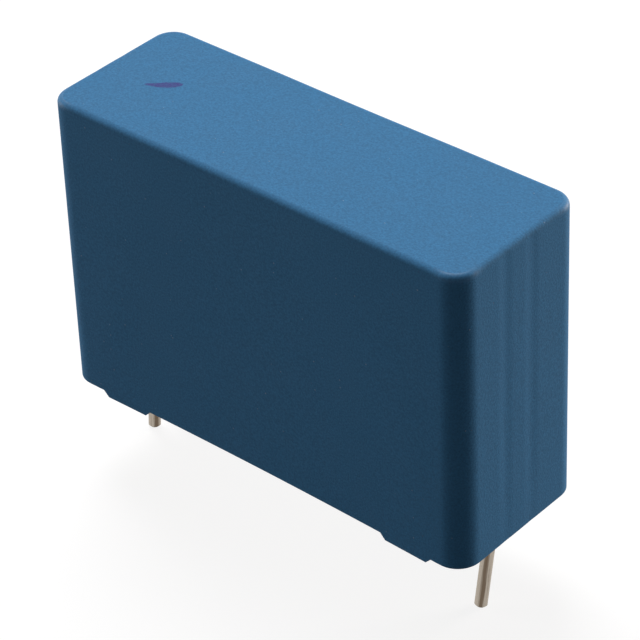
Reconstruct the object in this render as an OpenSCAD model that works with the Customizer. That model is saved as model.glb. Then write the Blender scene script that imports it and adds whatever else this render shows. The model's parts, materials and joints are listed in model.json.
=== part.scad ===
// Box film capacitor: a metallised-film winding potted in a moulded plastic case,
// with two wires for a printed circuit board.
// +X runs along the row of leads and +Z up. z = 0 is the board that the feet stand on.

/* [Case] */
// Length of the case at the feet, along the row of leads
case_length = 31.5; // [26:0.5:42]
// Width of the case at the feet
case_width = 11; // [10:0.1:14]
// Height from the feet to the top
case_height = 20.8; // [18:0.1:26]
// Thickness of the side walls at the feet
side_wall = 0.75; // [0.6:0.05:0.85]
// Thickness of the top wall
top_wall = 1; // [0.8:0.1:1.6]
// Radius of the upright outer corners at the feet
corner_radius = 1.6; // [1.4:0.05:2.4]
// Radius of the edge around the top
top_edge_radius = 0.4; // [0.3:0.05:0.9]
// Radius inside, where the side walls meet the top wall
ceiling_radius = 0.3; // [0.1:0.05:0.35]
// How far each outer face has leaned in at the top
top_inset = 0.12; // [0.06:0.01:0.2]
// How far each inner face has leaned in at the ceiling
ceiling_inset = 0.25; // [0.15:0.01:0.3]
// How far the middle of each long wall has sunk in at the feet
wall_sink = 0.19; // [0.05:0.01:0.25]
// How far the middle of each long wall has sunk in at the top
top_sink = 0.04; // [0.02:0.01:0.08]
// Plain wall left between each sunk area and the upright corners
sink_margin = 0.4; // [0.2:0.1:2]

/* [Feet] */
// Height of the feet, which hold the rim off the board
foot_height = 0.4; // [0.2:0.05:0.8]
// Length of each foot where it meets the board
foot_length = 3.1; // [2:0.1:4]
// Run of the sloping ends of each foot
foot_end_run = 0.38; // [0.2:0.02:0.6]
// Distance from the left end of the case to the middle of the left feet
left_foot_inset = 4.75; // [4.3:0.05:8]
// Distance from the right end of the case to the middle of the right feet
right_foot_inset = 4.3; // [4.3:0.05:8]

/* [Guide ribs] */
// Thickness of the upright ribs inside the short walls
rib_thickness = 0.5; // [0.4:0.05:0.8]
// Clearance between each rib and the weld beside it
rib_clearance = 0.05; // [0.02:0.01:0.3]
// Distance from the ribs' tips to the sprayed end
rib_end_gap = 0.6; // [0.5:0.05:0.7]
// Depth of resin between its flat surface and the ribs' lower ends
rib_cover = 0.75; // [0.4:0.05:2]

/* [Resin] */
// Depth of the resin's flat surface inside the rim
resin_recess = 0.9; // [0.6:0.05:1.4]
// How far the resin creeps down the walls from its flat surface
wall_creep = 0.35; // [0.1:0.05:0.5]
// Width of the sloping border where the resin creeps down the walls
wall_creep_width = 0.55; // [0.3:0.05:0.65]
// How far the resin creeps down each lead
lead_creep = 0.2; // [0.1:0.02:0.24]
// Width of the resin's collar around each lead, at the resin's flat surface
lead_creep_width = 0.35; // [0.2:0.05:0.45]
// Thickness of the collar at its lower end
collar_edge = 0.05; // [0.02:0.01:0.1]

/* [Winding] */
// Resin between the wrapped winding and the long walls at the ceiling
side_gap = 0.5; // [0.3:0.05:0.9]
// Resin between the wrapped winding and the ceiling
ceiling_gap = 0.8; // [0.4:0.1:1.5]
// Resin between the wrapped winding and the resin's flat surface
resin_cover = 1.5; // [1:0.1:3]
// Thickness of the plain film wrapped around the winding
wrap_thickness = 0.15; // [0.1:0.01:0.3]
// Thickness of the slit that the winding mandrel leaves
slit_thickness = 0.2; // [0.1:0.05:0.4]
// Thickness of the metal sprayed on each end
spray_thickness = 0.6; // [0.3:0.05:0.9]

/* [Leads] */
// Distance from each end of the case to the middle of the lead
lead_inset = 2; // [1.75:0.05:2.4]
// Diameter of the wire
lead_diameter = 0.8; // [0.76:0.01:0.84]
// How far the leads reach below the feet
lead_reach = 5.7; // [3.5:0.1:8]
// How far each wire is pressed into the sprayed end
lead_press = 0.05; // [0.02:0.01:0.1]
// How far each wire climbs past the lower edge of the winding
lead_climb = 11; // [7:0.5:13]
// Lean of the left lead towards the front, in degrees
left_lean_angle = 4.8; // [1:0.1:12]
// Lean of the right lead towards the front, in degrees
right_lean_angle = 10.8; // [1:0.1:12]
// Distance from the resin's flat surface down to the corner of each bend
bend_drop = 0.3; // [0.25:0.01:0.4]
// Radius of each bend along the middle of the wire
bend_radius = 1.4; // [0.8:0.1:2]
// Size of the chamfer where the wire was cut
tip_chamfer = 0.12; // [0.05:0.01:0.2]

/* [Welds] */
// Length of each weld between its round ends
weld_length = 3; // [1:0.5:4]
// Metal of the weld over the wire
weld_cover = 0.1; // [0.05:0.01:0.15]
// Distance from the weld's centre to the wire's upper end
weld_offset = 2.5; // [1:0.1:3]

/* [Hidden] */
$fn = 64;
LEFT = -1;
RIGHT = 1;
// An arc stands this far past a leaning wall, so that the two cross cleanly
seam = 0.00002;
// Cuts run this far past the faces that they open
past = 1;

case_blue = [0.24, 0.46, 0.63];
resin_grey = [0.25, 0.31, 0.36];
film_silver = [0.72, 0.73, 0.75];
wrap_clear = [0.86, 0.85, 0.78];
zinc_grey = [0.55, 0.56, 0.57];
weld_tin = [0.78, 0.77, 0.74];
wire_tin = [0.7, 0.66, 0.6];

rim_z = foot_height;
ceiling_z = case_height - top_wall;
resin_z = rim_z + resin_recess;

cavity_length = case_length - 2 * side_wall;
cavity_width = case_width - 2 * side_wall;
cavity_corner = corner_radius - side_wall;

sink_chord = case_length - 2 * corner_radius - 2 * sink_margin;
sink_steps = 16;
sink_tilt = atan((wall_sink - top_sink - top_inset) / case_height);

left_foot_x = left_foot_inset - case_length / 2;
right_foot_x = case_length / 2 - right_foot_inset;

lead_pitch = case_length - 2 * lead_inset;
wire_radius = lead_diameter / 2;
spray_face_x = lead_pitch / 2 - wire_radius + lead_press;
film_width = 2 * (spray_face_x - spray_thickness);
wrap_bottom = resin_z + resin_cover;
wrap_height = ceiling_z - ceiling_gap - wrap_bottom;
wrap_middle = wrap_bottom + wrap_height / 2;
wrap_width = cavity_width - 2 * ceiling_inset - 2 * side_gap;
winding_width = wrap_width - 2 * wrap_thickness;
winding_height = wrap_height - 2 * wrap_thickness;

weld_radius = lead_diameter + weld_cover;
wire_top = wrap_bottom + lead_climb;
weld_z = wire_top - weld_offset;
rib_y = weld_radius + rib_clearance + rib_thickness / 2;
rib_tip_x = spray_face_x + rib_end_gap;

// Half of an upright section, from a vertical axis out to a wall that leans in.
// The upper outer edge is rounded and meets both the wall and the top smoothly.
module leaning_profile(reach, lean, height, edge) {
    tilt = atan(lean / height);
    edge_z = height - edge;
    wall_x = reach - lean * edge_z / height - edge / cos(tilt);
    edge_x = wall_x + seam;
    polygon([
        [0, 0],
        [reach, 0],
        [wall_x + edge * cos(tilt), edge_z + edge * sin(tilt)],
        [edge_x, height],
        [0, height]
    ]);
    intersection() {
        translate([edge_x, edge_z]) circle(r = edge);
        square(height + past);
    }
}

// The whole width of a section: its two halves stand apart with a square between them
module full_section(half_span, height) {
    for (turn = [0, 1])
        mirror([turn, 0])
            translate([half_span, 0])
                children();
    translate([-half_span, 0]) square([2 * half_span, height]);
}

// A block with leaning walls, round upright corners and a round upper edge
module drafted_block(length, width, corner, lean, height, edge) {
    span_x = length / 2 - corner;
    span_y = width / 2 - corner;
    for (x = [-span_x, span_x], y = [-span_y, span_y])
        translate([x, y, 0])
            rotate_extrude()
                leaning_profile(corner, lean, height, edge);
    translate([-span_x, 0, 0])
        rotate([90, 0, 90])
            linear_extrude(height = 2 * span_x)
                full_section(span_y, height)
                    leaning_profile(corner, lean, height, edge);
    translate([0, span_y, 0])
        rotate([90, 0, 0])
            linear_extrude(height = 2 * span_y)
                full_section(span_x, height)
                    leaning_profile(corner, lean, height, edge);
}

// A frustum with the same outline as a drafted block and a sharp upper edge
module sharp_block(length, width, corner, lean, height) {
    span_x = length / 2 - corner;
    span_y = width / 2 - corner;
    half = [[0, 0], [corner, 0], [corner - lean, height], [0, height]];
    for (x = [-span_x, span_x], y = [-span_y, span_y])
        translate([x, y, 0])
            cylinder(h = height, r1 = corner, r2 = corner - lean);
    translate([-span_x, 0, 0])
        rotate([90, 0, 90])
            linear_extrude(height = 2 * span_x)
                full_section(span_y, height)
                    polygon(half);
    translate([0, span_y, 0])
        rotate([90, 0, 0])
            linear_extrude(height = 2 * span_y)
                full_section(span_x, height)
                    polygon(half);
}

// The shallow hollow in a long wall, in plan. Its curve is a parabola and inset moves it in.
module sunk_outline(inset) {
    half = sink_chord / 2;
    polygon([
        for (i = [0:sink_steps])
            let (share = 2 * i / sink_steps - 1)
                [share * half, inset + wall_sink * (1 - share * share)],
        [half, -past],
        [-half, -past]
    ]);
}

// What the long walls have lost by sinking in, on both sides of the case
module sunk_sides(inset) {
    for (turn = [0, 180])
        rotate([0, 0, turn])
            translate([0, -case_width / 2, 0])
                rotate([sink_tilt, 0, 0])
                    translate([0, 0, -past])
                        linear_extrude(height = case_height + 2 * past)
                            sunk_outline(inset);
}

module rib_posts() {
    rib_length = case_length / 2 - rib_tip_x;
    rib_middle = (case_length / 2 + rib_tip_x) / 2;
    rib_height = case_height - resin_z - rib_cover;
    for (side = [LEFT, RIGHT], y = [-rib_y, rib_y])
        translate([side * rib_middle, y, case_height - rib_height / 2])
            cube([rib_length, rib_thickness, rib_height], center = true);
}

// The space inside the case, with the ribs left standing in it
module cavity() {
    difference() {
        drafted_block(cavity_length, cavity_width, cavity_corner, ceiling_inset,
            ceiling_z, ceiling_radius);
        sunk_sides(side_wall);
        rib_posts();
    }
}

// Everything below the rim, apart from the strips that the feet stand in
module rim_cut() {
    difference() {
        translate([-case_length, -case_width, -past])
            cube([2 * case_length, 2 * case_width, past + rim_z]);
        for (x = [left_foot_x, right_foot_x])
            translate([x, case_width, 0])
                rotate([90, 0, 0])
                    linear_extrude(height = 2 * case_width)
                        foot_outline();
    }
}

module foot_outline() {
    half = foot_length / 2;
    run = foot_end_run * (rim_z + past) / rim_z;
    polygon([
        [-half, 0],
        [half, 0],
        [half + run, rim_z + past],
        [-half - run, rim_z + past]
    ]);
}

module case() {
    color(case_blue)
        difference() {
            drafted_block(case_length, case_width, corner_radius, top_inset,
                case_height, top_edge_radius);
            sunk_sides(0);
            cavity();
            rim_cut();
        }
}

// The open space under the resin, with a sloping border where the resin creeps down
module below_resin() {
    creep_z = resin_z - wall_creep;
    translate([-case_length, -case_width, -past])
        cube([2 * case_length, 2 * case_width, past + creep_z]);
    translate([0, 0, creep_z])
        sharp_block(cavity_length, cavity_width, cavity_corner, wall_creep_width, wall_creep);
}

module lead_collar(side) {
    translate([side * lead_pitch / 2, 0, resin_z - lead_creep])
        cylinder(h = lead_creep, r1 = wire_radius + collar_edge,
            r2 = wire_radius + lead_creep_width);
}

module resin_fill() {
    color(resin_grey)
        difference() {
            union() {
                difference() {
                    cavity();
                    below_resin();
                }
                for (side = [LEFT, RIGHT])
                    lead_collar(side);
            }
            wrapped_body(2 * spray_face_x);
            for (side = [LEFT, RIGHT]) {
                weld_bead(side);
                wire(side);
            }
        }
}

// A flattened roll's section: straight sides between two half circles
module roll_section(width, height) {
    span = height / 2 - width / 2;
    for (z = [-span, span])
        translate([0, z]) circle(d = width);
    translate([-width / 2, -span]) square([width, 2 * span]);
}

module roll(length, width, height) {
    translate([-length / 2, 0, wrap_middle])
        rotate([90, 0, 90])
            linear_extrude(height = length)
                roll_section(width, height);
}

module wrapped_body(length) {
    roll(length, wrap_width, wrap_height);
}

module winding() {
    color(film_silver)
        difference() {
            roll(film_width, winding_width, winding_height);
            roll(film_width + 2 * past, slit_thickness,
                winding_height - winding_width + slit_thickness);
        }
}

module film_wrap() {
    color(wrap_clear)
        difference() {
            wrapped_body(film_width);
            roll(film_width + 2 * past, winding_width, winding_height);
        }
}

module end_spray(side) {
    color(zinc_grey)
        difference() {
            translate([side * (film_width + spray_thickness) / 2, 0, 0])
                wrapped_body(spray_thickness);
            wire(side);
        }
}

module end_spray_left() {
    end_spray(LEFT);
}

module end_spray_right() {
    end_spray(RIGHT);
}

// Metal run over the wire, from one side of it to the other
module weld_bead(side) {
    translate([side * spray_face_x, 0, weld_z])
        intersection() {
            union() {
                cylinder(h = weld_length, r = weld_radius, center = true);
                for (z = [-weld_length / 2, weld_length / 2])
                    translate([0, 0, z]) sphere(r = weld_radius);
            }
            translate([side * weld_radius, 0, 0])
                cube([2 * weld_radius, 4 * weld_radius, weld_length + 4 * weld_radius],
                    center = true);
        }
}

module weld(side) {
    color(weld_tin)
        difference() {
            weld_bead(side);
            wire(side);
        }
}

module weld_left() {
    weld(LEFT);
}

module weld_right() {
    weld(RIGHT);
}

// The free end of a lead, straight down from its bend to the cut tip
module lead_tail(length) {
    rotate_extrude()
        polygon([
            [0, 0],
            [wire_radius, 0],
            [wire_radius, tip_chamfer - length],
            [wire_radius - tip_chamfer, -length],
            [0, -length]
        ]);
}

module wire(side) {
    lean = side == LEFT ? left_lean_angle : right_lean_angle;
    bend_top = resin_z - bend_drop + bend_radius * tan(lean / 2);
    bend_bottom = bend_top - bend_radius * sin(lean);
    translate([side * lead_pitch / 2, 0, 0]) {
        translate([0, 0, bend_top])
            cylinder(h = wire_top - bend_top, r = wire_radius);
        translate([0, -bend_radius, bend_top]) {
            rotate([-90, 0, 90])
                rotate_extrude(angle = lean)
                    translate([bend_radius, 0])
                        circle(r = wire_radius);
            rotate([-lean, 0, 0])
                translate([0, bend_radius, 0])
                    lead_tail((bend_bottom + lead_reach) / cos(lean));
        }
    }
}

module lead_left() {
    color(wire_tin) wire(LEFT);
}

module lead_right() {
    color(wire_tin) wire(RIGHT);
}

case();
resin_fill();
winding();
film_wrap();
end_spray_left();
end_spray_right();
weld_left();
weld_right();
lead_left();
lead_right();
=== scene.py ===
"""Dresses the box film capacitor: a finely shaped moulded case, a finish for every piece and a
plain studio stage."""

import json
import math

import bpy
from mathutils import Matrix, Vector


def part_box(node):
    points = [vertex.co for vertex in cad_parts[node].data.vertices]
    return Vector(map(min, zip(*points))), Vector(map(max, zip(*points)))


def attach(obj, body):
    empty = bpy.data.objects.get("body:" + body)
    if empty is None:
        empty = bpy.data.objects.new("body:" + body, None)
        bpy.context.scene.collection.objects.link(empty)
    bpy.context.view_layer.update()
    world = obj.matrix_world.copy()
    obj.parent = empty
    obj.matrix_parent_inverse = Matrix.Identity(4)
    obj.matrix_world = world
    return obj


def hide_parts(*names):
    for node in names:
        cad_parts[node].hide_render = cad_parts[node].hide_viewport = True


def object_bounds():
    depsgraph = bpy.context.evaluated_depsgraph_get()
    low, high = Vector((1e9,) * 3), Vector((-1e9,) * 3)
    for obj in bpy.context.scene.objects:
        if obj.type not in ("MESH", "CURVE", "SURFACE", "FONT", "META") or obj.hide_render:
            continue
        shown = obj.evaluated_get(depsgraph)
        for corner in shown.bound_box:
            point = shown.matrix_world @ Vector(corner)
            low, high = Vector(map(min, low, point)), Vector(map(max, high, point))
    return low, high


bl_info = {
    "name": "Box Film Capacitor",
    "version": (1, 0, 0),
    "blender": (4, 5, 0),
    "location": "3D View > Sidebar > Capacitor",
    "description": "Shapes and finishes a potted box film capacitor and sets its stage",
    "category": "Object",
}

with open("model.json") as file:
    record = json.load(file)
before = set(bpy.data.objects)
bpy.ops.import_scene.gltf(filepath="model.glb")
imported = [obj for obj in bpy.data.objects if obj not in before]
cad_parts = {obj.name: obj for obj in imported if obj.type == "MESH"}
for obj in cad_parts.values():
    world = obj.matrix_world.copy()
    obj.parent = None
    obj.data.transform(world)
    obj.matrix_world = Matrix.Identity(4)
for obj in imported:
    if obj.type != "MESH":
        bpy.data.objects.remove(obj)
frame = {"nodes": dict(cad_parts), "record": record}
bpy.context.view_layer.update()
CAD_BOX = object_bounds()

BODY = "root"
MM = 0.001
CASE_LOW, CASE_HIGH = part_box("case")
LEAD_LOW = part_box("lead_right")[0]
# The wide dark band on each wire, a painted reflection of dark surroundings: how far it lies aside
# of the wire's middle in millimetres, and its turn round the wire
PAINTED_REFLECTION_BANDS = {"left": 0.11, "right": -0.06}
REFLECTION_BAND_TURN = math.radians(42)
# How soft the corner is where a long wall begins to sink in
SOFT_STEP = 0.008 * MM
# Points of the case closer than this are one point
MERGE_REACH = 0.0005 * MM
# Edges of the case that turn by less than this are smooth
SMOOTH_TURN = math.radians(40)
# Room for rounding where a whole number or nothing is tested for
NUDGE = 0.001
# Metres from the middle of the case to each lamp, and the side of each lamp
LAMP_DISTANCE, LAMP_SIZE = 0.6, 0.3
# Direction of each lamp, its level and its colour
LAMPS = {
    "top_lamp": ((-0.4, 0.3, 0.85), 0.925, (1.0, 1.0, 1.0)),
    "back_lamp": ((0.38, 0.92, 0.1), 1.32, (1.0, 0.88, 0.8)),
    "fill_lamp": ((-0.9, -0.36, 0.1), 0.43, (1.0, 0.97, 0.92)),
}


# ---------------------------------------------------------------- node trees


class Value:
    """A number that varies over a node tree. Arithmetic on it adds Math nodes."""

    def __init__(self, graph, socket):
        self.graph = graph
        self.socket = socket

    def out(self, name):
        """Another output of the node that this value comes from."""
        return Value(self.graph, self.socket.node.outputs[name])

    def __add__(self, other):
        return self.graph.maths("ADD", self, other)

    def __radd__(self, other):
        return self.graph.maths("ADD", other, self)

    def __sub__(self, other):
        return self.graph.maths("SUBTRACT", self, other)

    def __rsub__(self, other):
        return self.graph.maths("SUBTRACT", other, self)

    def __mul__(self, other):
        return self.graph.maths("MULTIPLY", self, other)

    def __rmul__(self, other):
        return self.graph.maths("MULTIPLY", other, self)

    def __truediv__(self, other):
        return self.graph.maths("DIVIDE", self, other)

    def __rtruediv__(self, other):
        return self.graph.maths("DIVIDE", other, self)

    def __mod__(self, other):
        return self.graph.maths("FLOORED_MODULO", self, other)

    def __neg__(self):
        return self.graph.maths("MULTIPLY", self, -1.0)

    def __abs__(self):
        return self.graph.maths("ABSOLUTE", self)

    def __lt__(self, other):
        return self.graph.maths("LESS_THAN", self, other)

    def __gt__(self, other):
        return self.graph.maths("GREATER_THAN", self, other)

    def least(self, other):
        return self.graph.maths("MINIMUM", self, other)

    def most(self, other):
        return self.graph.maths("MAXIMUM", self, other)

    def held(self, low=0.0, high=1.0):
        """This value, held between low and high."""
        return self.most(low).least(high)

    def floor(self):
        return self.graph.maths("FLOOR", self)

    def sin(self):
        return self.graph.maths("SINE", self)

    def cos(self):
        return self.graph.maths("COSINE", self)

    def root(self):
        return self.graph.maths("SQRT", self)

    def smooth(self, low, high):
        """0 below low, 1 above high, and an even S between them."""
        ramp = {"interpolation_type": "SMOOTHSTEP"}
        ends = {"Value": self, "From Min": low, "From Max": high}
        return self.graph.node("ShaderNodeMapRange", ramp, ends)


class Graph:
    """A node tree under construction, for a material or for geometry."""

    def __init__(self, tree):
        self.tree = tree
        tree.nodes.clear()

    def node(self, kind, settings=None, sockets=None):
        """Adds a node with its settings and sockets, and gives its first output."""
        made = self.tree.nodes.new(kind)
        for name, value in (settings or {}).items():
            if name == "stops":
                self.set_stops(made.color_ramp.elements, value)
            else:
                setattr(made, name, value)
        for name, value in (sockets or {}).items():
            self.feed(self.socket_of(made, name), value)
        given = [socket for socket in made.outputs if socket.enabled]
        return Value(self, given[0]) if given else None

    def socket_of(self, made, name):
        if isinstance(name, int):
            return made.inputs[name]
        return next(s for s in made.inputs if s.name == name and s.enabled)

    def feed(self, socket, value):
        if isinstance(value, Value):
            self.tree.links.new(value.socket, socket)
        else:
            socket.default_value = value

    def set_stops(self, elements, stops):
        while len(elements) < len(stops):
            elements.new(1.0)
        for element, (place, colour) in zip(elements, stops):
            element.position = place
            element.color = (*colour, 1.0)

    def maths(self, operation, *terms):
        settings = {"operation": operation}
        return self.node("ShaderNodeMath", settings, dict(enumerate(terms)))


# ---------------------------------------------------------------- settings


class CaseSettings(bpy.types.PropertyGroup):
    """Sizes of the moulded case."""

    wall: bpy.props.FloatProperty(
        name="Wall", description="Thickness of the side walls at the feet",
        default=0.75 * MM, min=0.6 * MM, max=0.85 * MM, unit="LENGTH", precision=5)
    top_wall: bpy.props.FloatProperty(
        name="Top Wall", description="Thickness of the top wall",
        default=1.0 * MM, min=0.8 * MM, max=1.6 * MM, unit="LENGTH", precision=5)
    corner_radius: bpy.props.FloatProperty(
        name="Corner Radius", description="Radius of the upright outer corners",
        default=1.6 * MM, min=1.4 * MM, max=2.4 * MM, unit="LENGTH", precision=5)
    edge_radius: bpy.props.FloatProperty(
        name="Edge Radius", description="Radius of the edge around the top",
        default=0.4 * MM, min=0.3 * MM, max=0.9 * MM, unit="LENGTH", precision=5)
    rim_radius: bpy.props.FloatProperty(
        name="Rim Radius", description="Radius of the edges of the open rim",
        default=0.04 * MM, min=0.02 * MM, max=0.15 * MM, unit="LENGTH", precision=5)
    ceiling_radius: bpy.props.FloatProperty(
        name="Ceiling Radius", description="Radius inside, where the walls meet the top",
        default=0.3 * MM, min=0.1 * MM, max=0.35 * MM, unit="LENGTH", precision=5)
    outer_lean: bpy.props.FloatProperty(
        name="Outer Lean", description="How far the outer faces have leaned in at the top",
        default=0.12 * MM, min=0.06 * MM, max=0.2 * MM, unit="LENGTH", precision=5)
    inner_lean: bpy.props.FloatProperty(
        name="Inner Lean", description="How far the inner faces have leaned in at the ceiling",
        default=0.25 * MM, min=0.15 * MM, max=0.3 * MM, unit="LENGTH", precision=5)
    foot_height: bpy.props.FloatProperty(
        name="Foot Height", description="Height of the feet under the rim",
        default=0.4 * MM, min=0.2 * MM, max=0.8 * MM, unit="LENGTH", precision=5)
    foot_length: bpy.props.FloatProperty(
        name="Foot Length", description="Length of each foot where it stands",
        default=3.1 * MM, min=2.0 * MM, max=4.0 * MM, unit="LENGTH", precision=5)
    foot_run: bpy.props.FloatProperty(
        name="Foot Run", description="Run of the sloping ends of each foot",
        default=0.38 * MM, min=0.2 * MM, max=0.6 * MM, unit="LENGTH", precision=5)
    left_foot: bpy.props.FloatProperty(
        name="Left Foot", description="Middle of the left feet along the case",
        default=-11.0 * MM, unit="LENGTH", precision=5)
    right_foot: bpy.props.FloatProperty(
        name="Right Foot", description="Middle of the right feet along the case",
        default=11.45 * MM, unit="LENGTH", precision=5)
    low_sink: bpy.props.FloatProperty(
        name="Low Sink", description="How far the long walls have sunk at the feet",
        default=0.19 * MM, min=0.0, max=0.25 * MM, unit="LENGTH", precision=5)
    high_sink: bpy.props.FloatProperty(
        name="High Sink", description="How far the long walls have sunk at the top",
        default=0.04 * MM, min=0.0, max=0.08 * MM, unit="LENGTH", precision=5)
    sink_margin: bpy.props.FloatProperty(
        name="Sink Margin", description="Plain wall between the sunk area and each corner",
        default=0.4 * MM, min=0.2 * MM, max=2.0 * MM, unit="LENGTH", precision=5)
    groove_depth: bpy.props.FloatProperty(
        name="Groove Depth", description="Depth of the sink marks on the short walls",
        default=0.028 * MM, min=0.0, max=0.05 * MM, unit="LENGTH", precision=6)
    groove_width: bpy.props.FloatProperty(
        name="Groove Width", description="Width of each sink mark",
        default=1.45 * MM, min=0.6 * MM, max=2.0 * MM, unit="LENGTH", precision=5)
    near_groove: bpy.props.FloatProperty(
        name="Near Groove", description="Place of the sink mark nearer the front wall",
        default=-1.4 * MM, unit="LENGTH", precision=5)
    far_groove: bpy.props.FloatProperty(
        name="Far Groove", description="Place of the sink mark nearer the back wall",
        default=0.95 * MM, unit="LENGTH", precision=5)
    rib_reach: bpy.props.FloatProperty(
        name="Rib Reach",
        description="From the outer face of a short wall to the tips of its inner ribs",
        default=1.75 * MM, min=1.2 * MM, max=1.75 * MM, unit="LENGTH", precision=5)
    rib_thickness: bpy.props.FloatProperty(
        name="Rib Thickness", description="Thickness of the inner ribs",
        default=0.5 * MM, min=0.3 * MM, max=0.7 * MM, unit="LENGTH", precision=5)
    rib_start: bpy.props.FloatProperty(
        name="Rib Start", description="Height above the board at which the inner ribs start",
        default=2.05 * MM, min=2.0 * MM, max=8.0 * MM, unit="LENGTH", precision=5)
    rib_place: bpy.props.FloatProperty(
        name="Rib Place",
        description="From the middle of a short wall to the middle of each inner rib",
        default=1.2 * MM, min=0.9 * MM, max=2.5 * MM, unit="LENGTH", precision=5)


class FinishSettings(bpy.types.PropertyGroup):
    """Colours of the finishes."""

    plastic: bpy.props.FloatVectorProperty(
        name="Case Plastic", description="Colour of the moulded case",
        default=(0.04, 0.174, 0.356), min=0.0, max=1.0, subtype="COLOR")
    ink: bpy.props.FloatVectorProperty(
        name="Ink", description="Colour of the plain ink stroke on the top",
        default=(0.05, 0.03, 0.19), min=0.0, max=1.0, subtype="COLOR")
    resin: bpy.props.FloatVectorProperty(
        name="Potting Resin", description="Colour of the cured resin",
        default=(0.04, 0.07, 0.1), min=0.0, max=1.0, subtype="COLOR")
    tin: bpy.props.FloatVectorProperty(
        name="Tinned Wire", description="Colour of the wires' tin",
        default=(0.42, 0.37, 0.31), min=0.0, max=1.0, subtype="COLOR")
    # This colour paints the dark reflection band down one side of each wire, and is the real colour
    # of the wires' cut ends
    stain_and_painted_reflection: bpy.props.FloatVectorProperty(
        name="Wire Stain And Painted Reflection",
        description="Colour of the brown lines on the wires and of their cut ends",
        default=(0.14, 0.098, 0.064), min=0.0, max=1.0, subtype="COLOR")


class StageSettings(bpy.types.PropertyGroup):
    """The camera and the studio around the capacitor."""

    azimuth: bpy.props.FloatProperty(
        name="Azimuth", description="Angle of the camera round the capacitor from the front",
        default=math.radians(42.188), subtype="ANGLE")
    elevation: bpy.props.FloatProperty(
        name="Elevation", description="Angle of the camera above the horizon",
        default=math.radians(35.555), subtype="ANGLE")
    roll: bpy.props.FloatProperty(
        name="Roll", description="Turn of the camera about its own axis",
        default=math.radians(-2.347), subtype="ANGLE")
    distance: bpy.props.FloatProperty(
        name="Distance", description="From the camera to the point that it looks at",
        default=176.8 * MM, unit="LENGTH")
    lens: bpy.props.FloatProperty(
        name="Lens", description="Focal length in millimetres",
        default=167.55, min=50.0, max=400.0)
    aim: bpy.props.FloatVectorProperty(
        name="Aim", description="Sideways and upward step of the aim, in the picture's plane",
        size=2, default=(0.504 * MM, -1.746 * MM), unit="LENGTH", precision=5)
    floor: bpy.props.FloatVectorProperty(
        name="Floor", description="Colour of the pale floor",
        default=(0.18, 0.18, 0.18), min=0.0, max=1.0, subtype="COLOR")


# ---------------------------------------------------------------- the moulded case


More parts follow.
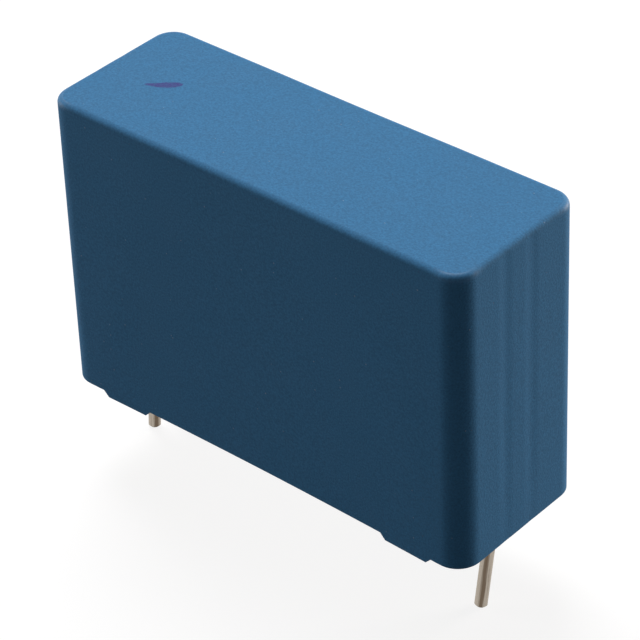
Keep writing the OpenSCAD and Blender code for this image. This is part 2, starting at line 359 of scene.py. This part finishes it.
class CaseSurface:
    """The case as one closed sheet. Columns of points go round it, and levels run from the middle
    of the top, down the outside, under the rim and up the inside to the middle of the ceiling."""

    # Steps along a quarter of the outline: half a short wall, a corner, half a long wall
    SHORT_STEPS, CORNER_STEPS, LONG_STEPS = 39, 18, 58
    # Steps of each stage of the section, in order
    STAGES = {
        "top": 7, "edge": 12, "outside": 30, "rim_out": 4, "rim_face": 2,
        "rim_in": 4, "inside": 12, "ceiling_edge": 4, "ceiling": 5,
    }

    def __init__(self, graph, size):
        self.graph = graph
        self.size = size
        self.levels = sum(self.STAGES.values()) + 1
        self.quarter = self.SHORT_STEPS + self.CORNER_STEPS + self.LONG_STEPS
        index = graph.node("GeometryNodeInputIndex")
        self.column = (index / self.levels + 0.5 / self.levels).floor()
        self.level = index - self.column * self.levels

    def stage(self, name):
        """How far a point has gone through one stage of the section, from 0 to 1."""
        names = list(self.STAGES)
        start = sum(self.STAGES[n] for n in names[: names.index(name)])
        return ((self.level - start) / self.STAGES[name]).held()

    def outline(self):
        """The outline at the feet, before it leans or sinks: its place and outward direction."""
        size = self.size
        quadrant = (self.column / self.quarter + NUDGE).floor()
        step = self.column - quadrant * self.quarter
        mirrored = quadrant % 2
        step = step + mirrored * (self.quarter - 2 * step)
        short = (step / self.SHORT_STEPS).held()
        turn = ((step - self.SHORT_STEPS) / self.CORNER_STEPS).held() * (math.pi / 2)
        run = ((step - self.SHORT_STEPS - self.CORNER_STEPS) / self.LONG_STEPS).held()
        right = 1 - 2 * (quadrant > 0.5) * (quadrant < 2.5)
        back = 1 - 2 * (quadrant > 1.5) * (quadrant < 3.5)
        half_length = size["Length"] / 2 - size["Corner Radius"]
        half_width = size["Width"] / 2 - size["Corner Radius"]
        x = right * (half_length * (1 - run) + size["Corner Radius"] * turn.cos())
        y = back * (half_width * short + size["Corner Radius"] * turn.sin())
        x = x + self.pull_to_feet(x) * (run > NUDGE)
        return x, y, right * turn.cos(), back * turn.sin()

    def pull_to_feet(self, x):
        """Moves the nearest column onto each end of a foot, so that the feet have crisp ends."""
        size = self.size
        # A little less than half the distance between two columns
        near = size["Length"] / (4.2 * self.LONG_STEPS)
        pull = 0.0
        for foot in ("Left Foot", "Right Foot"):
            for end in (-1, 1):
                for reach in (size["Foot Length"] / 2, size["Foot Length"] / 2 + size["Foot Run"]):
                    away = size[foot] + end * reach - x
                    pull = pull + away * (abs(away) < near)
        return pull

    def rim(self, x):
        """Height of the rim: nothing on the feet and the feet's height between them."""
        size = self.size
        share = 1.0
        for foot in ("Left Foot", "Right Foot"):
            away = abs(x - size[foot]) - size["Foot Length"] / 2
            share = (away / size["Foot Run"]).held().least(share)
        return share * size["Foot Height"]

    def section(self, rim):
        """How far in from the outline a point is, and its height, at its level of the section."""
        size = self.size
        quarter_turn = math.pi / 2
        edge_z = size["Height"] - size["Edge Radius"]
        ceiling_z = size["Height"] - size["Top Wall"]
        low = rim + size["Rim Radius"]
        # Levels are close together at both ends of the walls, so that the curved edges stay crisp
        down = (1 - (self.stage("outside") * math.pi).cos()) / 2
        up = (1 - (self.stage("inside") * math.pi).cos()) / 2
        outer_z = edge_z + down * (low - edge_z)
        inner_rise = up * (ceiling_z - size["Ceiling Radius"] - low)
        edge = (1 - self.stage("edge")) * quarter_turn
        rim_out = self.stage("rim_out") * quarter_turn
        rim_in = self.stage("rim_in") * quarter_turn
        ceiling = self.stage("ceiling_edge") * quarter_turn
        z = (
            outer_z
            + size["Edge Radius"] * edge.sin()
            - size["Rim Radius"] * (rim_out.sin() - 1 + rim_in.cos())
            + inner_rise
            + size["Ceiling Radius"] * ceiling.sin()
        )
        outer_lean = size["Outer Lean"] / size["Height"]
        inner_lean = size["Inner Lean"] / ceiling_z
        face = size["Wall"] + (inner_lean - outer_lean) * low - 2 * size["Rim Radius"]
        inset = (
            outer_lean * outer_z
            + size["Edge Radius"] * (1 - edge.cos())
            + size["Rim Radius"] * (1 - rim_out.cos() + rim_in.sin())
            + self.stage("rim_face") * face
            + inner_lean * inner_rise
            + size["Ceiling Radius"] * (1 - ceiling.cos())
        )
        return inset, z

    def sink(self, x, z):
        """How far a long wall has sunk in past its lean. The hollow is deepest at its middle and at
        the feet, and it narrows and grows shallow towards the top."""
        size = self.size
        half_chord = size["Length"] / 2 - size["Corner Radius"] - size["Sink Margin"]
        share = x / half_chord
        rise = z / size["Height"]
        hollow = size["Low Sink"] * (1 - share * share)
        hollow = hollow - (size["Low Sink"] - size["High Sink"] - size["Outer Lean"]) * rise
        outer = size["Outer Lean"] * rise
        inner = size["Inner Lean"] * z / (size["Height"] - size["Top Wall"])
        further = hollow - outer - self.stage("rim_face") * (inner - outer)
        # A soft corner where the hollow begins
        return (further + (further * further + SOFT_STEP * SOFT_STEP).root()) / 2

    def grooves(self, y, z):
        """How far a short wall has sunk in at its two marks, which fade towards the feet."""
        size = self.size
        low_share, fade_height = 0.35, 0.25 * size["Height"]
        depth = 0.0
        for groove in ("Near Groove", "Far Groove"):
            share = ((y - size[groove]) / (size["Groove Width"] / 2)).held(-1.0, 1.0)
            depth = depth + (1 + (share * math.pi).cos()) / 2
        outside = self.stage("edge") * (1 - self.stage("rim_face"))
        fade = low_share + (1 - low_share) * (z / fade_height).held()
        return size["Groove Depth"] * depth * outside * fade

    def place(self):
        """Where each point goes."""
        size = self.size
        x, y, out_x, out_y = self.outline()
        inset, z = self.section(self.rim(x))
        dent_x = inset + self.grooves(y, z)
        dent_y = inset + self.sink(x, z)
        x = x - out_x * dent_x
        y = y - out_y * dent_y
        # The levels of the top and the ceiling close on a line along the middle
        reach = (size["Length"] - size["Width"]) / 2
        top = 1 - self.stage("top")
        ceiling = self.stage("ceiling")
        closing = top * top * top + ceiling * ceiling * ceiling
        x = x + closing * (x.least(reach).most(-reach) - x)
        y = y - closing * y
        return self.graph.node("ShaderNodeCombineXYZ", None, {"X": x, "Y": y, "Z": z})


def inner_ribs(graph, size):
    """The upright ribs inside the short walls: boxes that reach into the walls and top."""
    half_length = size["Length"] / 2
    top = size["Height"] - size["Top Wall"] / 2
    outer = half_length - size["Wall"] / 2
    tip = half_length - size["Rib Reach"]
    extent = graph.node("ShaderNodeCombineXYZ", None, {
        "X": outer - tip, "Y": size["Rib Thickness"], "Z": top - size["Rib Start"]})
    rib = graph.node("GeometryNodeMeshCube", None, {"Size": extent})
    corners = graph.node("GeometryNodeMeshGrid", None, {
        "Size X": outer + tip, "Size Y": 2 * size["Rib Place"], "Vertices X": 2, "Vertices Y": 2})
    middle = graph.node("ShaderNodeCombineXYZ", None, {"Z": (top + size["Rib Start"]) / 2})
    corners = graph.node("GeometryNodeTransform", None, {
        "Geometry": corners, "Translation": middle})
    ribs = graph.node("GeometryNodeInstanceOnPoints", None, {"Points": corners, "Instance": rib})
    return graph.node("GeometryNodeRealizeInstances", None, {"Geometry": ribs})


CASE_INPUTS = (
    "Length", "Width", "Height", "Wall", "Top Wall", "Corner Radius", "Edge Radius", "Rim Radius",
    "Ceiling Radius", "Outer Lean", "Inner Lean", "Foot Height", "Foot Length", "Foot Run",
    "Left Foot", "Right Foot", "Low Sink", "High Sink", "Sink Margin", "Groove Depth",
    "Groove Width", "Near Groove", "Far Groove", "Rib Reach", "Rib Thickness", "Rib Start",
    "Rib Place",
)


def geometry_tree(name, input_names):
    """A geometry tree with a length for each name and a material, and its graph and group input."""
    tree = bpy.data.node_groups.new(name, "GeometryNodeTree")
    for label in input_names:
        socket = tree.interface.new_socket(label, in_out="INPUT", socket_type="NodeSocketFloat")
        socket.subtype = "DISTANCE"
    tree.interface.new_socket("Finish", in_out="INPUT", socket_type="NodeSocketMaterial")
    tree.interface.new_socket("Geometry", in_out="OUTPUT", socket_type="NodeSocketGeometry")
    graph = Graph(tree)
    given = graph.node("NodeGroupInput")
    size = {label: given.out(label) for label in input_names}
    return tree, graph, size, given.out("Finish")


def close_tree(graph, geometry, finish):
    """Ends a geometry tree: real geometry, one finish and the group's output."""
    real = graph.node("GeometryNodeRealizeInstances", None, {"Geometry": geometry})
    done = graph.node("GeometryNodeSetMaterial", None, {"Geometry": real, "Material": finish})
    graph.node("NodeGroupOutput", None, {"Geometry": done})


def case_tree():
    tree, graph, size, finish = geometry_tree("Moulded Case", CASE_INPUTS)
    surface = CaseSurface(graph, size)
    sheet = graph.node("GeometryNodeMeshGrid", None, {
        "Size X": 1.0, "Size Y": 1.0,
        "Vertices X": 4 * surface.quarter + 1,
        "Vertices Y": surface.levels,
    })
    shell = graph.node("GeometryNodeSetPosition", None, {
        "Geometry": sheet, "Position": surface.place()})
    shell = graph.node("GeometryNodeMergeByDistance", None, {
        "Geometry": shell, "Distance": MERGE_REACH})
    shell = graph.node("GeometryNodeFlipFaces", None, {"Mesh": shell})
    joined = graph.node(
        "GeometryNodeMeshBoolean", {"operation": "UNION", "solver": "MANIFOLD"}, {1: shell})
    graph.feed(joined.socket.node.inputs[1], inner_ribs(graph, size))
    smooth = graph.node("GeometryNodeSetShadeSmooth", None, {
        "Geometry": joined, "Shade Smooth": True})
    angle = graph.node("GeometryNodeInputMeshEdgeAngle")
    smooth = graph.node("GeometryNodeSetShadeSmooth", {"domain": "EDGE"}, {
        "Geometry": smooth, "Shade Smooth": angle < SMOOTH_TURN})
    close_tree(graph, smooth, finish)
    return tree


def grow(name, tree, values, finish):
    """Runs a geometry tree and keeps its result as a plain mesh that rides with the part."""
    piece = bpy.data.objects.new(name, bpy.data.meshes.new(name))
    bpy.context.scene.collection.objects.link(piece)
    growth = piece.modifiers.new("Growth", "NODES")
    growth.node_group = tree
    for item in tree.interface.items_tree:
        if item.item_type == "SOCKET" and item.in_out == "INPUT":
            growth[item.identifier] = finish if item.name == "Finish" else values[item.name]
    bpy.context.view_layer.update()
    evaluated = bpy.context.evaluated_depsgraph_get()
    mesh = bpy.data.meshes.new_from_object(piece.evaluated_get(evaluated), depsgraph=evaluated)
    piece.modifiers.clear()
    piece.data = mesh
    mesh.name = name
    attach(piece, BODY)
    return piece


# ---------------------------------------------------------------- finishes


def new_finish(name):
    """A material with its graph and its points in millimetres on the object."""
    material = bpy.data.materials.new(name)
    material.use_nodes = True
    graph = Graph(material.node_tree)
    place = graph.node("ShaderNodeTexCoord").out("Object")
    points = graph.node("ShaderNodeMapping", None, {"Vector": place, "Scale": (1 / MM,) * 3})
    return material, graph, points


def finish_surface(graph, constants, links):
    """Ends a material with one principled shader."""
    shader = graph.node("ShaderNodeBsdfPrincipled", None, {**constants, **links})
    graph.node("ShaderNodeOutputMaterial", None, {"Surface": shader})


def blend_colours(graph, share, low, high):
    """low where share is 0 and high where it is 1."""
    return graph.node("ShaderNodeMix", {"data_type": "RGBA"}, {
        "Factor": share, "A": low, "B": high})


def shade(colour, strength):
    """A colour made darker or lighter, with its alpha."""
    return (*(min(1.0, channel * strength) for channel in colour), 1.0)


def noise(graph, points, scale, detail=2.0, roughness=0.5):
    return graph.node("ShaderNodeTexNoise", None, {
        "Vector": points, "Scale": scale, "Detail": detail, "Roughness": roughness})


def specks(graph, points, scale, radius, share):
    """Small round specks: 1 on the few cells that hold one, and 0 elsewhere."""
    cells = graph.node("ShaderNodeTexVoronoi", None, {"Vector": points, "Scale": scale})
    lot = graph.node("ShaderNodeSeparateColor", None, {"Color": cells.out("Color")})
    inside = 1 - cells.out("Distance").smooth(radius * scale * 0.6, radius * scale * 1.3)
    return inside * (lot < share)


def bump(graph, height, depth):
    """A normal for relief of that depth in metres."""
    return graph.node("ShaderNodeBump", None, {
        "Height": height, "Distance": depth, "Strength": 1.0})


def split(graph, points):
    """The parts of a vector, of which X comes first."""
    return graph.node("ShaderNodeSeparateXYZ", None, {"Vector": points})


def ink_stroke(graph, points):
    """A short plain stroke of ink on the top, thin at its ends and a little streaky."""
    place = split(graph, points)
    x, y, z = place.out("X"), place.out("Y"), place.out("Z")
    start, end, half_width = Vector((-12.0, -0.85)), Vector((-10.1, 0.55)), 0.3
    way = (end - start).normalized()
    middle = (start + end) / 2
    along = (x - middle.x) * way.x + (y - middle.y) * way.y
    aside = (y - middle.y) * way.x - (x - middle.x) * way.y
    share = along / ((end - start).length / 2)
    bow = 0.1 * share * share
    room = half_width * (1 - share * share).held().root() * (1 + 0.35 * share)
    ragged = noise(graph, points, 5.0, 3.0) * 0.24 - 0.12
    solid = 1 - (abs(aside - bow) + ragged - room).smooth(-0.08, 0.04)
    streaks = noise(graph, points, 8.0, 3.0, 0.7).smooth(0.32, 0.6)
    on_top = (z > CASE_HIGH.z / MM - 0.3) * (abs(share) < 1.0)
    return solid * (0.5 + 0.5 * streaks) * on_top


def top_corners(graph, points):
    """1 on the rounded edges at the four corners of the top, which handling has rubbed smooth."""
    place = split(graph, points)
    drop = CASE_HIGH.z / MM - place.out("Z")
    edge = drop.smooth(0.001, 0.005) * (1 - drop.smooth(0.3, 0.5))
    # How far from each end the rubbed part starts, and where it is whole
    far, near = 2.4, 1.2
    long_way = abs(place.out("X")).smooth(CASE_HIGH.x / MM - far, CASE_HIGH.x / MM - near)
    short_way = abs(place.out("Y")).smooth(CASE_HIGH.y / MM - far, CASE_HIGH.y / MM - near)
    return edge * long_way * short_way


def plastic_finish(colours):
    """Blue moulded plastic with a fine spark-eroded grain, some dust and a stroke of ink."""
    material, graph, points = new_finish("case_plastic_finish")
    cloud = noise(graph, points, 0.4, 4.0, 0.6)
    grain = noise(graph, points, 8.0, 2.0, 0.6)
    tone = 0.5 + 0.3 * (cloud - 0.5) + 2.4 * (grain - 0.5)
    colour = blend_colours(graph, tone, shade(colours.plastic, 0.8), shade(colours.plastic, 1.18))
    colour = blend_colours(graph, ink_stroke(graph, points) * 0.9, colour, (*colours.ink, 1.0))
    pale = specks(graph, points, 1.5, 0.045, 0.3)
    brown_dust_and_painted_reflection = specks(graph, points, 1.1, 0.04, 0.2)
    colour = blend_colours(graph, pale * 0.3, colour, (0.45, 0.47, 0.48, 1.0))
    colour = blend_colours(graph, brown_dust_and_painted_reflection * 0.5, colour, (0.13, 0.1, 0.07, 1.0))
    rubbed = top_corners(graph, points)
    roughness = 0.7 + 0.12 * cloud + 0.06 * grain - 0.28 * rubbed
    relief = (grain - 0.5) * (1 - 0.5 * rubbed) + 1.2 * pale
    finish_surface(graph, {"Specular IOR Level": 0.27}, {
        "Base Color": colour, "Roughness": roughness, "Normal": bump(graph, relief, 0.016 * MM)})
    return material


def resin_finish(colours):
    """Cured potting resin: satin, a little uneven, with a few burst bubbles."""
    material, graph, points = new_finish("potting_resin_finish")
    cloud = noise(graph, points, 0.35, 5.0, 0.6)
    colour = blend_colours(graph, cloud, shade(colours.resin, 0.8), shade(colours.resin, 1.3))
    pits = specks(graph, points, 0.9, 0.14, 0.12)
    filler = noise(graph, points, 9.0, 2.0)
    grains = filler.smooth(0.55, 0.75) * 0.35
    colour = blend_colours(graph, grains, colour, shade(colours.resin, 2.4))
    roughness = 0.24 + 0.2 * cloud
    relief = 6 * cloud + 0.25 * filler - 3 * pits
    finish_surface(graph, {"Specular IOR Level": 0.5}, {
        "Base Color": colour, "Roughness": roughness, "Normal": bump(graph, relief, 0.01 * MM)})
    return material


def wire_finish(colours, name, mount, band_aside):
    """Dull tinned wire: brown and pale drawn lines along it, a wide dark band of painted reflection
    at a given distance aside of its middle, and the core's colour where it was cut."""
    material, graph, points = new_finish(name)
    lean = math.atan(mount["axis"][1] / mount["axis"][2])
    upright = graph.node("ShaderNodeMapping", None, {
        "Vector": points, "Rotation": (lean, 0.0, 0.0)})
    middle = Matrix.Rotation(lean, 3, "X") @ Vector(mount["pos_m"]) / MM
    way = Vector((math.cos(REFLECTION_BAND_TURN), math.sin(REFLECTION_BAND_TURN)))
    around = split(graph, upright)
    aside = (around.out("X") - middle.x) * way.x + (around.out("Y") - middle.y) * way.y
    lines = graph.node("ShaderNodeMapping", None, {"Vector": upright, "Scale": (1.0, 1.0, 0.04)})
    bands = noise(graph, lines, 1.5, 2.0, 0.5)
    drawn = noise(graph, lines, 12.0, 3.0, 0.6)
    dull = noise(graph, points, 1.6, 4.0, 0.6)
    # Painted reflection: a wide dark band down one side of each wire stands in for the dark
    # surroundings that the wire would reflect
    brown_dust_and_painted_reflection = 1 - abs(aside - band_aside + 0.3 * (drawn - 0.5)).smooth(0.06, 0.2)
    tone = (bands + 0.5 * (drawn - 0.5) + 0.2 * (dull - 0.5)).smooth(0.36, 0.6) * (1 - 0.9 * brown_dust_and_painted_reflection)
    colour = blend_colours(graph, tone, shade(colours.stain_and_painted_reflection, 1.0), shade(colours.tin, 1.03))
    height = split(graph, points).out("Z")
    cut = 1 - (height + 0.1 * dull).smooth(LEAD_LOW.z / MM + 0.1, LEAD_LOW.z / MM + 0.28)
    colour = blend_colours(graph, cut * 0.75, colour, shade(colours.stain_and_painted_reflection, 0.8))
    roughness = 0.34 + 0.14 * drawn + 0.14 * dull
    relief = drawn + 0.8 * dull + cut
    finish_surface(graph, {"Metallic": 1.0}, {
        "Base Color": colour, "Roughness": roughness, "Normal": bump(graph, relief, 0.01 * MM)})
    return material


def film_finish(name, colour, turns, metallic, roughness):
    """Wound film: fine turns that show on the ends and soft ripples along the roll."""
    material, graph, points = new_finish(name)
    place = split(graph, points)
    layers = ((abs(place.out("Y")) * turns).sin() + 1) / 2
    ripple = noise(graph, points, 0.6, 3.0)
    tone = layers * 0.5 + ripple * 0.5
    tint = blend_colours(graph, tone, shade(colour, 0.75), shade(colour, 1.1))
    relief = layers + ripple * 2
    finish_surface(graph, {"Metallic": metallic}, {
        "Base Color": tint, "Roughness": roughness + 0.15 * ripple,
        "Normal": bump(graph, relief, 0.01 * MM)})
    return material


def sprayed_finish():
    """Arc-sprayed zinc: a rough crust of flattened droplets."""
    material, graph, points = new_finish("sprayed_zinc_finish")
    cells = graph.node("ShaderNodeTexVoronoi", None, {"Vector": points, "Scale": 6.0})
    crust = noise(graph, points, 3.0, 5.0, 0.7)
    colour = blend_colours(graph, crust, (0.2, 0.21, 0.22, 1.0), (0.42, 0.43, 0.44, 1.0))
    relief = cells.out("Distance") + 1.5 * crust
    finish_surface(graph, {"Metallic": 1.0}, {
        "Base Color": colour, "Roughness": 0.5 + 0.3 * crust,
        "Normal": bump(graph, relief, 0.05 * MM)})
    return material


def weld_finish():
    """Weld metal: bright, with the ripples of its setting."""
    material, graph, points = new_finish("weld_metal_finish")
    height = split(graph, points).out("Z")
    wander = noise(graph, points, 1.2, 3.0)
    ripples = ((height * 9 + wander * 6).sin() + 1) / 2
    colour = blend_colours(graph, wander, (0.4, 0.39, 0.36, 1.0), (0.62, 0.6, 0.56, 1.0))
    finish_surface(graph, {"Metallic": 1.0}, {
        "Base Color": colour, "Roughness": 0.22 + 0.2 * wander,
        "Normal": bump(graph, ripples + wander, 0.02 * MM)})
    return material


def dress(node, material):
    """Gives a CAD node its finish."""
    frame["nodes"][node].data.materials[0] = material


# ---------------------------------------------------------------- operators


class CAPACITOR_OT_mould_case(bpy.types.Operator):
    """Shape the moulded case and give it its plastic"""

    bl_idname = "capacitor.mould_case"
    bl_label = "Mould Case"

    def execute(self, context):
        size = context.scene.capacitor_case
        values = {
            "Length": CASE_HIGH.x - CASE_LOW.x,
            "Width": CASE_HIGH.y - CASE_LOW.y,
            "Height": CASE_HIGH.z - CASE_LOW.z,
        }
        for label in CASE_INPUTS:
            if label not in values:
                values[label] = getattr(size, label.lower().replace(" ", "_"))
        finish = plastic_finish(context.scene.capacitor_finish)
        case = grow("moulded_case", case_tree(), values, finish)
        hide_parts("case")
        return {"FINISHED"}


class CAPACITOR_OT_pour_resin(bpy.types.Operator):
    """Give the potting resin its finish"""

    bl_idname = "capacitor.pour_resin"
    bl_label = "Pour Resin"

    def execute(self, context):
        dress("resin_fill", resin_finish(context.scene.capacitor_finish))
        return {"FINISHED"}


class CAPACITOR_OT_tin_leads(bpy.types.Operator):
    """Give the two leads their finish"""

    bl_idname = "capacitor.tin_leads"
    bl_label = "Tin Leads"

    def execute(self, context):
        for mount in frame["record"]["mounts"]:
            if mount["kind"] == "pin":
                side = mount["name"].split("_")[0]
                colours = context.scene.capacitor_finish
                finish = wire_finish(colours, side + "_wire_finish", mount, PAINTED_REFLECTION_BANDS[side])
                dress("lead_" + side, finish)
        return {"FINISHED"}


class CAPACITOR_OT_finish_winding(bpy.types.Operator):
    """Give the winding, its wrap, its sprayed ends and its welds their finishes"""

    bl_idname = "capacitor.finish_winding"
    bl_label = "Finish Winding"

    def execute(self, context):
        dress("winding", film_finish(
            "metallised_film_finish", (0.5, 0.51, 0.53), turns=60.0, metallic=1.0, roughness=0.25))
        dress("film_wrap", film_finish(
            "plain_film_finish", (0.68, 0.66, 0.56), turns=90.0, metallic=0.0, roughness=0.15))
        for end in ("left", "right"):
            dress("end_spray_" + end, sprayed_finish())
            dress("weld_" + end, weld_finish())
        return {"FINISHED"}


def add_lamp(name, direction, level, colour):
    """A square soft lamp that faces the case. White paper that faces it renders at its level."""
    lamp = bpy.data.lights.new(name, "AREA")
    lamp.color = colour
    lamp.shape = "SQUARE"
    lamp.size = LAMP_SIZE
    lamp.energy = level * (math.pi * LAMP_DISTANCE) ** 2
    holder = bpy.data.objects.new(name, lamp)
    way = Vector(direction)
    holder.location = (CASE_LOW + CASE_HIGH) / 2 + way.normalized() * LAMP_DISTANCE
    holder.rotation_euler = way.to_track_quat("Z", "Y").to_euler()
    bpy.context.scene.collection.objects.link(holder)


def seen_share(graph):
    """1 for rays that show the background: from the camera, by a reflection or through glass."""
    path = graph.node("ShaderNodeLightPath")
    seen = path.out("Is Camera Ray").most(path.out("Is Glossy Ray"))
    return seen.most(path.out("Is Transmission Ray"))


def add_floor(colour):
    """A wide pale floor under the tips of the leads. It keeps the shadow and is clear from below.
    Its glow makes up what the lamps leave short of white."""
    half = 0.6
    lamp_share = 0.75
    corners = [(-half, -half), (half, -half), (half, half), (-half, half)]
    mesh = bpy.data.meshes.new("floor")
    mesh.from_pydata([(x, y, CAD_BOX[0].z) for x, y in corners], [], [(0, 1, 2, 3)])
    floor = bpy.data.objects.new("floor", mesh)
    bpy.context.scene.collection.objects.link(floor)
    material = bpy.data.materials.new("floor_paper")
    material.use_nodes = True
    graph = Graph(material.node_tree)
    paper = graph.node("ShaderNodeBsdfDiffuse", None, {"Color": (*colour, 1.0)})
    glow = graph.node("ShaderNodeEmission", None, {
        "Strength": seen_share(graph) * (1 - lamp_share * colour[0])})
    lit = graph.node("ShaderNodeAddShader", None, {0: paper, 1: glow})
    clear = graph.node("ShaderNodeBsdfTransparent")
    below = graph.node("ShaderNodeNewGeometry").out("Backfacing")
    top = graph.node("ShaderNodeMixShader", None, {0: below, 1: lit, 2: clear})
    graph.node("ShaderNodeOutputMaterial", None, {"Surface": top})
    mesh.materials.append(material)


def light_world(strength):
    """An even soft light from all round, and white where the background shows."""
    world = bpy.data.worlds.new("studio")
    bpy.context.scene.world = world
    world.use_nodes = True
    graph = Graph(world.node_tree)
    seen = seen_share(graph)
    soft = graph.node("ShaderNodeBackground", None, {
        "Color": (1.0, 1.0, 1.0, 1.0), "Strength": strength + seen * (1 - strength)})
    graph.node("ShaderNodeOutputWorld", None, {"Surface": soft})


def aim_camera(stage):
    """The camera, turned round the middle of the case at its upright centre."""
    azimuth, elevation, roll = stage.azimuth, stage.elevation, stage.roll
    back = Vector((
        math.sin(azimuth) * math.cos(elevation),
        -math.cos(azimuth) * math.cos(elevation),
        math.sin(elevation),
    ))
    level = Vector((math.cos(azimuth), math.sin(azimuth), 0.0))
    upright = back.cross(level)
    right = math.cos(roll) * level + math.sin(roll) * upright
    up = math.cos(roll) * upright - math.sin(roll) * level
    rim = bpy.context.scene.capacitor_case.foot_height
    centre = Vector((0.0, 0.0, (CASE_HIGH.z + rim) / 2))
    target = centre + stage.aim[0] * right + stage.aim[1] * up
    data = bpy.data.cameras.new("camera")
    data.sensor_width = 36.0
    data.lens = stage.lens
    data.clip_start = 0.01
    data.clip_end = 10.0
    camera = bpy.data.objects.new("camera", data)
    turn = Matrix((right, up, back)).transposed().to_4x4()
    camera.matrix_world = Matrix.Translation(target + stage.distance * back) @ turn
    bpy.context.scene.collection.objects.link(camera)
    bpy.context.scene.camera = camera


class CAPACITOR_OT_set_stage(bpy.types.Operator):
    """Set the floor, the lamps and the camera"""

    bl_idname = "capacitor.set_stage"
    bl_label = "Set Stage"

    def execute(self, context):
        stage = context.scene.capacitor_stage
        add_floor(tuple(stage.floor))
        light_world(strength=0.03)
        for name, (direction, level, colour) in LAMPS.items():
            add_lamp(name, direction, level, colour)
        aim_camera(stage)
        context.scene.view_settings.view_transform = "Standard"
        return {"FINISHED"}


class CAPACITOR_PT_panel(bpy.types.Panel):
    """Lists the capacitor's operators and settings"""

    bl_label = "Box Film Capacitor"
    bl_idname = "CAPACITOR_PT_panel"
    bl_space_type = "VIEW_3D"
    bl_region_type = "UI"
    bl_category = "Capacitor"

    def draw(self, context):
        for operator in OPERATORS:
            self.layout.operator(operator.bl_idname)
        for group in ("capacitor_case", "capacitor_finish", "capacitor_stage"):
            settings = getattr(context.scene, group)
            for name in settings.__annotations__:
                self.layout.prop(settings, name)


OPERATORS = (
    CAPACITOR_OT_mould_case,
    CAPACITOR_OT_pour_resin,
    CAPACITOR_OT_tin_leads,
    CAPACITOR_OT_finish_winding,
    CAPACITOR_OT_set_stage,
)
SETTINGS = {
    "capacitor_case": CaseSettings,
    "capacitor_finish": FinishSettings,
    "capacitor_stage": StageSettings,
}
CLASSES = (*SETTINGS.values(), *OPERATORS, CAPACITOR_PT_panel)


def register():
    for made in CLASSES:
        bpy.utils.register_class(made)
    for name, group in SETTINGS.items():
        setattr(bpy.types.Scene, name, bpy.props.PointerProperty(type=group))


def unregister():
    for name in SETTINGS:
        delattr(bpy.types.Scene, name)
    for made in reversed(CLASSES):
        bpy.utils.unregister_class(made)


def main():
    register()
    bpy.ops.capacitor.mould_case()
    bpy.ops.capacitor.pour_resin()
    bpy.ops.capacitor.tin_leads()
    bpy.ops.capacitor.finish_winding()
    bpy.ops.capacitor.set_stage()
    bpy.context.view_layer.update()


if __name__ == "__main__":
    main()
